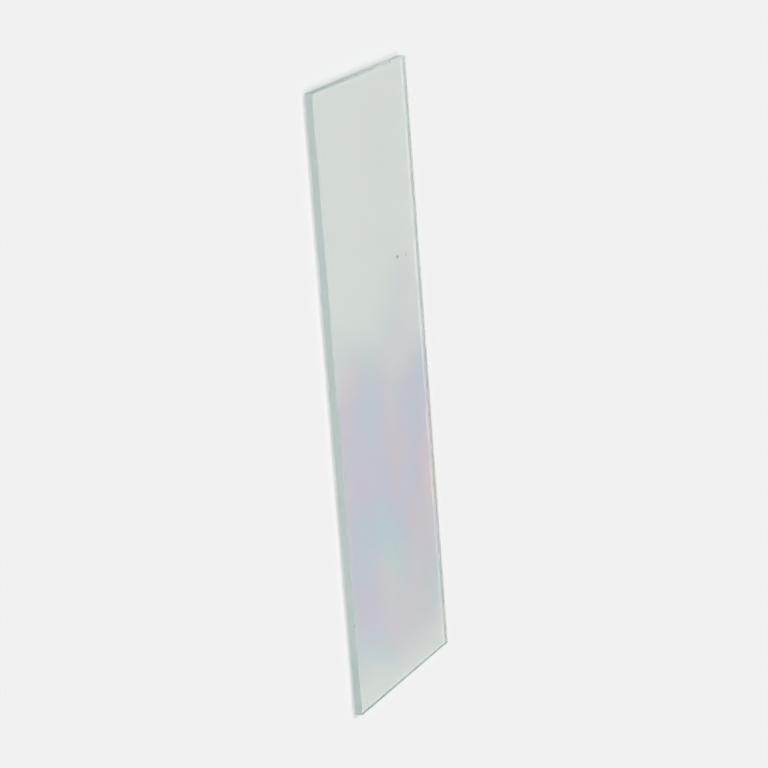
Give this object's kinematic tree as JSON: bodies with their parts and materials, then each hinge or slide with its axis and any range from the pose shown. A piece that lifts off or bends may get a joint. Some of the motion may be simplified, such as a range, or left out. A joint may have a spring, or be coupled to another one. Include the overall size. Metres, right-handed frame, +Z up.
{
  "type": "microscope slide",
  "caption": "Plain clear glass microscope slide: a thin flat rectangular plate with ground edges that carries a specimen on a microscope stage.",
  "frame": {"origin": "centre of the underside, on the surface that the slide lies on", "axes": "+X along the length, +Y across the width, +Z up out of the specimen face"},
  "size_m": [0.076, 0.026, 0.001],
  "materials": {
    "clear_glass": "clear polished soda-lime glass, dull ground edges with a pale blue-green tint"
  },
  "bodies": {
    "root": {"glass_slide": "clear_glass"}
  },
  "joints": []
}
